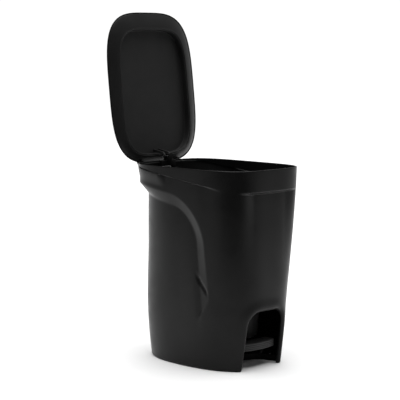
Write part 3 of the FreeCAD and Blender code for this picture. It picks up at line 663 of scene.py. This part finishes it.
def arch_edge(points):
    """Raises a soft border round the foot arch and rolls its edge inward."""
    array = np.array(points)
    x, y, z = array.T
    distance = np.maximum(arch_distance(x, z), 0.0)
    front = y < 0
    border = smooth(1 - np.abs(distance - ARCH_ROLL_WIDTH) / ARCH_BORDER_WIDTH)
    high = smooth((z - ARCH_BORDER_LOW_Z) / ARCH_BORDER_FADE)
    share = ARCH_BORDER_LOW_SHARE + (1 - ARCH_BORDER_LOW_SHARE) * high
    raised = ARCH_BORDER_RISE * share * border
    across = 1 - np.clip(distance / ARCH_ROLL_WIDTH, 0.0, 1.0)
    rolled = (1 - np.sqrt(1 - across ** 2)) * np.maximum(arch_back(z) - y, 0.0)
    array[:, 1] += np.where(front, rolled - raised * (1 - across), 0.0)
    return [tuple(point) for point in array]


def arch_flange(points, faces, segments):
    """The lip behind the arch's rolled edge: a short step back, then round and forward again."""
    probe = 0.05 * MM
    radius = WALL / 2
    rings = {}
    for corner in sorted({index for segment in segments for index in segment}):
        x, y, z = points[corner]
        slope_x = float(arch_distance(x + probe, z) - arch_distance(x - probe, z))
        slope_z = float(arch_distance(x, z + probe) - arch_distance(x, z - probe))
        length = math.hypot(slope_x, slope_z)
        back = y + ARCH_LIP_STEP
        profile = [(radius + radius * math.cos(angle), back - radius + radius * math.sin(angle))
                   for angle in arc_steps(180, 0, 6)]
        profile.append((WALL, y + radius))
        ring = [corner]
        for out, depth in profile:
            points.append((x + out * slope_x / length, depth, z + out * slope_z / length))
            ring.append(len(points) - 1)
        rings[corner] = ring
    for first, second in segments:
        for step in range(len(rings[first]) - 1):
            faces.append((rings[first][step], rings[second][step],
                          rings[second][step + 1], rings[first][step + 1]))


def arch_cut(points, count, margin):
    """Cuts the foot arch, wider by margin, out of the front of a wall given as rows of points."""
    x, y, z = np.array(points).T
    distance = np.where(y < 0, arch_distance(x, z) - margin, 1.0)
    return clipped(points, grid_faces(len(points) // count, count), distance)


def outer_shell_skin():
    """The outside with its arch, the lining of the wall, the hinge ears and the guides' pads."""
    outside = shell_skin(0.0, SHELL_COUNT, foot_rows() + band_rows()) + rim_round(SHELL_COUNT)
    points, faces, segments = arch_cut(outside, SHELL_COUNT, 0.0)
    points = arch_edge(points)
    arch_flange(points, faces, segments)
    skin = mesh_object("shell_skin", *used_only(points, faces), ROUND_ANGLE)
    inner_count = SHELL_COUNT // 2
    inner_rows = [INNER_FOOT_Z] + rows_between(6, 360, 6.0) + band_rows()
    points, faces, _ = arch_cut(shell_skin(WALL, inner_count, inner_rows), inner_count, ARCH_ROLL_WIDTH)
    lining = mesh_object("shell_lining", *used_only(points, faces), ROUND_ANGLE)
    return merged("outer_shell_skin", [skin, lining] + hinge_ears() + wall_pads())


def hinge_ears():
    """Two pairs of ears on the back wall, each with a round nose about the hinge pin."""
    y = HINGE.y
    z = HINGE.z
    outline = [(y - EAR_ROOT_Y, z - EAR_DROP), (y - 2 * MM, z - 8 * MM)]
    for angle in arc_steps(-40, 100, 8):
        outline.append((y + EAR_NOSE_RADIUS * math.cos(angle), z + EAR_NOSE_RADIUS * math.sin(angle)))
    outline.append((y - 6.5 * MM, z + EAR_NOSE_RADIUS))
    ears = []
    for side in (-1, 1):
        for start in (KNUCKLE_X[0] - EAR_GAP - EAR_WIDTH, KNUCKLE_X[1] + EAR_GAP):
            x_low = min(side * start, side * (start + EAR_WIDTH))
            ears.append(extruded("ear", outline, x_low, x_low + EAR_WIDTH, 0.4 * MM))
    return ears


def wall_pads():
    """Pads on the inside of the back wall that the guides are screwed to."""
    guide_low, guide_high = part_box("lifter_guide")
    eye_low, eye_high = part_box("wire_guide")
    pads = []
    for low, high, width in ((guide_low, guide_high, 9 * MM), (eye_low, eye_high, 7 * MM)):
        front_y = high.y + PAD_GAP
        bottom = low.z + 4 * MM
        top = high.z - 2 * MM
        outline = [(front_y, bottom), (front_y, top), (PAD_BACK_Y, top), (PAD_BACK_Y, bottom)]
        for x_low in (low.x + PAD_INSET, high.x - width - PAD_INSET):
            pads.append(extruded("pad", outline, x_low, x_low + width, 0.5 * MM))
    return pads


# ---------------------------------------------------------------- lid

def opened(piece):
    """Turns a lid piece from its closed place to the open one."""
    turn = Matrix.Rotation(-LID_OPEN, 4, "X")
    place = Matrix.Translation(HINGE) @ turn @ Matrix.Translation(-HINGE)
    piece.data.transform(place)
    return piece


def lid_ring(inset, z):
    """A ring inside the lid's outline."""
    return (LID_HALF_WIDTH - inset, LID_HALF_LENGTH - inset, LID_POWER, LID_CENTRE_Y, z)


def lid_scaled(scale, z):
    """A ring at a share of the lid's outline."""
    return (LID_HALF_WIDTH * scale, LID_HALF_LENGTH * scale, LID_POWER, LID_CENTRE_Y, z)


def lip_ring(inset, z):
    """A ring inside the lip's outline."""
    return (LIP_HALF_WIDTH - inset, LIP_HALF_DEPTH - inset, LIP_POWER, PANEL_Y, z)


def panel_scaled(scale, z):
    """A ring of the panel's face at a share of its outline."""
    return (PANEL_HALF_WIDTH * scale, PANEL_HALF_DEPTH * scale, LIP_POWER, PANEL_Y, z)


def crown_height(scale):
    """Height of the lid's outside above its plane, at a share of its outline."""
    if scale > LID_EDGE_SCALE:
        share = (1 - scale) / (1 - LID_EDGE_SCALE)
        return LID_EDGE * math.sqrt(1 - (1 - share) ** 2)
    return LID_EDGE + (LID_CROWN - LID_EDGE) * (1 - (scale / LID_EDGE_SCALE) ** LID_CROWN_POWER)


def lid_cover_skin():
    """The domed cover with its rolled edge, and the knuckles on the hinge pins."""
    stations = []
    for scale, thickness in LID_INSIDE:
        stations.append(lid_scaled(scale, LID_PLANE_Z + crown_height(scale) - thickness))
    stations.append(lid_ring(LID_WALL + 0.2 * MM, LID_PLANE_Z + 1.5 * MM))
    radius = LID_ROLL_RADIUS
    for angle in arc_steps(180, 90, 4):
        inset = LID_WALL - LID_GAP - radius - radius * math.cos(angle)
        stations.append(lid_ring(inset, LID_PLANE_Z + radius - radius * math.sin(angle)))
    stations.append(lid_ring(LID_GAP, LID_PLANE_Z + LID_GAP / 2))
    edge_scales = [1 - (1 - LID_EDGE_SCALE) * (1 - math.cos(angle)) for angle in arc_steps(12, 90, 9)]
    crown_scales = list(np.linspace(LID_EDGE_SCALE - 0.01, 0.8, 16)) + list(np.linspace(0.78, 0.02, 20))
    for scale in edge_scales + crown_scales:
        stations.append(lid_scaled(scale, LID_PLANE_Z + crown_height(scale)))
    dome = mesh_object("dome", *ring_surface(stations, cap_start=True, cap_end=True))
    return opened(merged("lid_cover_skin", [dome] + lid_knuckles()))


def lid_knuckles():
    """Round barrels on the hinge pins, each on an arm from the lid's rear edge."""
    y = HINGE.y
    z = HINGE.z
    outline = []
    for angle in arc_steps(140, 400, 14):
        outline.append((y + KNUCKLE_RADIUS * math.cos(angle), z + KNUCKLE_RADIUS * math.sin(angle)))
    outline += [
        (y + 2.8 * MM, LID_PLANE_Z),
        (y - 6 * MM, LID_PLANE_Z + 5 * MM),
        (y - 14 * MM, LID_PLANE_Z + 3.5 * MM),
        (y - 2.8 * MM, LID_PLANE_Z - 3 * MM),
    ]
    knuckles = []
    for side in (-1, 1):
        x_low, x_high = sorted((side * KNUCKLE_X[0], side * KNUCKLE_X[1]))
        knuckles.append(extruded("knuckle", outline, x_low, x_high, 0.3 * MM))
    return knuckles


def lid_liner_skin():
    """The sloping band round the underside, with a rounded outer edge and a standing lip."""
    edge_x = LID_HALF_WIDTH - LID_WALL - LID_GAP
    edge_y = LID_HALF_LENGTH - LID_WALL - LID_GAP
    lip_z = LID_PLANE_Z - LIP_DROP

    def station(share, rise, out=0.0):
        return (
            edge_x + (LIP_HALF_WIDTH - edge_x) * share + out,
            edge_y + (LIP_HALF_DEPTH - edge_y) * share + out,
            LID_POWER + (LIP_POWER - LID_POWER) * share,
            LID_CENTRE_Y + (PANEL_Y - LID_CENTRE_Y) * share,
            LID_PLANE_Z - LIP_DROP * share + rise,
        )

    stations = [
        station(0.0, 2.5 * MM, -0.9 * MM),
        station(0.0, 1.2 * MM, -0.25 * MM),
        station(0.0, 0.4 * MM),
    ]
    for share in np.linspace(0.02, 0.93, 18):
        bow = LINER_BOW * math.sin(math.pi * share)
        stations.append(station(share, -bow + 0.2 * MM * (1 - share)))
    for angle in arc_steps(50, 180, 8):
        inset = LIP_RADIUS * (1 - math.cos(angle))
        stations.append(lip_ring(inset, lip_z + LIP_RADIUS * (1 - math.sin(angle))))
    stations.append(lip_ring(2 * LIP_RADIUS, lip_z + LIP_INNER_DEPTH))
    return opened(mesh_object("lid_liner_skin", *ring_surface(stations), ROUND_ANGLE))


def lid_panel_skin():
    """The recessed panel, the wall round it, and the two lugs that carry the lug pin."""
    lip_z = LID_PLANE_Z - LIP_DROP
    panel_z = LID_PLANE_Z + PANEL_RISE
    stations = [lip_ring(PANEL_RIM_INSET, lip_z + 4 * MM)]
    radius = PANEL_RIM_RADIUS
    for angle in arc_steps(0, 180, 6):
        inset = PANEL_RIM_INSET + radius * (1 - math.cos(angle))
        stations.append(lip_ring(inset, lip_z + 1.2 * MM - radius * math.sin(angle)))
    for angle in arc_steps(0, 90, 6):
        inset = PANEL_FILLET * (1 - math.cos(angle))
        z = panel_z - PANEL_FILLET * (1 - math.sin(angle))
        stations.append((PANEL_HALF_WIDTH - inset, PANEL_HALF_DEPTH - inset, LIP_POWER, PANEL_Y, z))
    for scale in (0.9, 0.75, 0.5, 0.25, 0.05):
        stations.append(panel_scaled(scale, panel_z - PANEL_SAG * (1 - scale ** 2)))
    panel = opened(mesh_object("panel", *ring_surface(stations, cap_end=True), ROUND_ANGLE))
    return merged("lid_panel_skin", [panel] + lid_lugs())


def lid_lugs():
    """Two slim hooks from the panel to the lug pin, made in the open pose."""
    pin_low, pin_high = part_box("lug_pin")
    y = (pin_low.y + pin_high.y) / 2
    z = (pin_low.z + pin_high.z) / 2
    outline = []
    for angle in arc_steps(170, 370, 12):
        outline.append((y + LUG_BOSS_RADIUS * math.cos(angle), z + LUG_BOSS_RADIUS * math.sin(angle)))
    root_y = HINGE.y + (LID_PLANE_Z + PANEL_RISE - HINGE.z) + LUG_ROOT_DEPTH
    outline += [
        (y + 7 * MM, z + 4 * MM),
        (root_y, z + 7 * MM),
        (root_y + 0.7 * MM, z + 13 * MM),
        (y + 2 * MM, z + 8 * MM),
    ]
    lugs = []
    for side in (-1, 1):
        x_low, x_high = sorted((side * LUG_X[0], side * LUG_X[1]))
        lugs.append(extruded("lug", outline, x_low, x_high, 0.4 * MM))
    return lugs


# ---------------------------------------------------------------- inner bucket

def bucket_outline(z, inset):
    """The bucket's wall at a height, as a ring whose front slopes back towards the floor."""
    rise, half_x, half_y, power, centre_y = zip(*BUCKET_RINGS)
    above_floor = (z - BUCKET_FLOOR_Z) / MM
    return (
        np.interp(above_floor, rise, half_x) * MM - inset,
        np.interp(above_floor, rise, half_y) * MM - inset,
        np.interp(above_floor, rise, power),
        np.interp(above_floor, rise, centre_y) * MM,
        z,
    )


def bucket_rim(inset, z):
    """A ring of the rolled rim, which keeps the outline of the bucket's top."""
    return bucket_outline(BUCKET_TOP_Z, inset)[:4] + (z,)


def bucket_skin():
    """Walls, a rolled rim and a floor with a rounded corner."""
    wall = BUCKET_WALL
    corner = BUCKET_CORNER
    radius = BUCKET_RIM_RADIUS
    lowest_row = BUCKET_FLOOR_Z + corner + 4 * MM
    floor_z = BUCKET_FLOOR_Z + BUCKET_FLOOR_THICKNESS
    stations = []
    for angle in arc_steps(90, 0, 5):
        z = BUCKET_FLOOR_Z + corner * (1 - math.sin(angle))
        stations.append(bucket_outline(z, corner * (1 - math.cos(angle))))
    for z in np.linspace(lowest_row, BUCKET_TOP_Z - 4 * MM, BUCKET_ROWS):
        stations.append(bucket_outline(z, 0.0))
    for angle in arc_steps(-90, 90, 8):
        z = BUCKET_TOP_Z - radius + radius * math.sin(angle)
        stations.append(bucket_rim(radius * (1 - math.cos(angle)) - BUCKET_RIM_REACH, z))
    for angle in arc_steps(90, 180, 4):
        z = BUCKET_TOP_Z - radius + radius * math.sin(angle)
        stations.append(bucket_rim(wall - radius * (1 + math.cos(angle)), z))
    for z in np.linspace(BUCKET_TOP_Z - 6 * MM, lowest_row, BUCKET_ROWS):
        stations.append(bucket_outline(z, wall))
    for angle in arc_steps(0, 90, 6):
        z = floor_z + corner * (1 - math.sin(angle))
        stations.append(bucket_outline(z, wall + corner * (1 - math.cos(angle))))
    half_x, half_y, power, centre_y, _ = bucket_outline(BUCKET_FLOOR_Z, 0.0)
    for scale in (0.7, 0.4, 0.05):
        stations.append((half_x * scale, half_y * scale, power, centre_y, floor_z))
    points, faces = ring_surface(stations, cap_start=True, cap_end=True)
    return mesh_object("inner_bucket_skin", points, faces, ROUND_ANGLE)


# ---------------------------------------------------------------- studio

def camera():
    """Stands where the photographer stood, and looks a little down."""
    data = bpy.data.cameras.new("camera")
    data.lens = CAMERA_LENS
    data.sensor_width = 36.0
    data.clip_start = 0.05
    data.clip_end = 50.0
    made = bpy.data.objects.new("camera", data)
    made.location = CAMERA_PLACE
    made.rotation_euler = (math.radians(90 - CAMERA_TILT), 0.0, math.radians(CAMERA_TURN))
    bpy.context.scene.collection.objects.link(made)
    bpy.context.scene.camera = made


def studio_world():
    """A pale room: white behind the object, dim at its sides and darkest behind the photographer."""
    world = bpy.data.worlds.new("studio")
    bpy.context.scene.world = world
    world.use_nodes = True
    tree = world.node_tree
    background = tree.nodes["Background"]
    place = tree.nodes.new("ShaderNodeTexCoord")
    toward = tree.nodes.new("ShaderNodeVectorMath")
    toward.operation = "DOT_PRODUCT"
    toward.inputs[1].default_value = TOWARD_CAMERA
    share = tree.nodes.new("ShaderNodeMapRange")
    share.inputs["From Min"].default_value = -1.0
    share.inputs["From Max"].default_value = 1.0
    ramp = tree.nodes.new("ShaderNodeValToRGB")
    ramp.color_ramp.interpolation = "EASE"
    while len(ramp.color_ramp.elements) < len(ROOM_TONES):
        ramp.color_ramp.elements.new(0.5)
    for element, (position, tone) in zip(ramp.color_ramp.elements, ROOM_TONES):
        element.position = position
        element.color = grey(tone) + (1.0,)
    tree.links.new(place.outputs["Generated"], toward.inputs[0])
    tree.links.new(toward.outputs["Value"], share.inputs["Value"])
    tree.links.new(share.outputs["Result"], ramp.inputs["Fac"])
    tree.links.new(ramp.outputs["Color"], background.inputs["Color"])
    background.inputs["Strength"].default_value = 1.0


def studio_floor(material):
    """A round pale floor, whose middle lies behind the object."""
    centre = Vector((FLOOR_SHIFT, FLOOR_SHIFT, 0.0))
    points = [centre]
    count = 96
    for step in range(count):
        angle = 2 * math.pi * step / count
        points.append(centre + Vector((math.cos(angle), math.sin(angle), 0.0)) * FLOOR_RADIUS)
    faces = [(0, step + 1, (step + 1) % count + 1) for step in range(count)]
    floor = mesh_object("studio_floor", points, faces)
    floor.data.materials.append(material)


def overhead():
    """Soft light from straight above, even over the whole floor."""
    data = bpy.data.lights.new("overhead", "SUN")
    data.energy = OVERHEAD_STRENGTH
    data.angle = math.radians(OVERHEAD_SPREAD)
    made = bpy.data.objects.new("overhead", data)
    made.location = (0.0, 0.0, 2.5)
    bpy.context.scene.collection.objects.link(made)


def studio():
    """Room, floor and light, shown without a film look."""
    studio_world()
    studio_floor(pale_floor("floor_paper"))
    overhead()
    bpy.context.scene.view_settings.view_transform = "Standard"
    bpy.context.scene.view_settings.look = "None"


# ---------------------------------------------------------------- assembly

shell_plastic = moulded_plastic("shell_satin", 0.0045, 0.33, 0.55 * MM, 0.03 * MM, shine=0.16)
liner_plastic = moulded_plastic("liner_satin", 0.008, 0.40, 0.5 * MM, 0.03 * MM)
panel_plastic = moulded_plastic("panel_matte", 0.012, 0.58, 0.8 * MM, 0.06 * MM)
bucket_plastic = moulded_plastic("bucket_satin", 0.02, 0.42, 0.6 * MM, 0.04 * MM)
inner_plastic = moulded_plastic("inner_parts_satin", 0.004, 0.45, 0.4 * MM, 0.03 * MM, shine=0.12)
tread_plastic = moulded_plastic("tread_matte", 0.019, 0.52, 0.5 * MM, 0.05 * MM)
bush_plastic = moulded_plastic("bush_acetal", 0.45, 0.35, 0.4 * MM, 0.02 * MM, wear=1.1)
foot_rubber = moulded_plastic("foot_rubber_matte", 0.015, 0.8, 0.3 * MM, 0.05 * MM)
wire_steel = drawn_steel("wire_drawn_steel", 0.85, 0.26)
screw_steel = drawn_steel("screw_zinc_steel", 0.5, 0.34)

camera()
studio()

shell = outer_shell_skin()
dress(shell, "root", shell_plastic)
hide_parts("outer_shell")

cover = lid_cover_skin()
dress(cover, "lid", shell_plastic)
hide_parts("lid_cover")

liner = lid_liner_skin()
dress(liner, "lid", liner_plastic)
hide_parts("lid_liner")

panel = lid_panel_skin()
dress(panel, "lid", panel_plastic)
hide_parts("lid_panel")

bucket = bucket_skin()
dress(bucket, "root", bucket_plastic)
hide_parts("inner_bucket")

softened("base_tray", "root", inner_plastic, 0.4 * MM)
softened("lifter_guide", "root", inner_plastic, 0.4 * MM)
softened("wire_guide", "root", inner_plastic, 0.3 * MM)
softened("lifter", "lift_rod", inner_plastic, 0.4 * MM)
softened("pedal_lever", "pedal", inner_plastic, 0.6 * MM)
softened("pedal_tread", "pedal", tread_plastic, 0.3 * MM)
softened("axle_bush_left", "root", bush_plastic, 0.25 * MM)
softened("axle_bush_right", "root", bush_plastic, 0.25 * MM)

for node in ("hinge_pin_left", "hinge_pin_right", "lug_pin", "lifting_wire", "pedal_axle"):
    repaint(node, wire_steel)
for node in ("guide_screws", "base_screws"):
    repaint(node, screw_steel)
for node in ("foot_front_left", "foot_front_right", "foot_rear_left", "foot_rear_right"):
    repaint(node, foot_rubber)
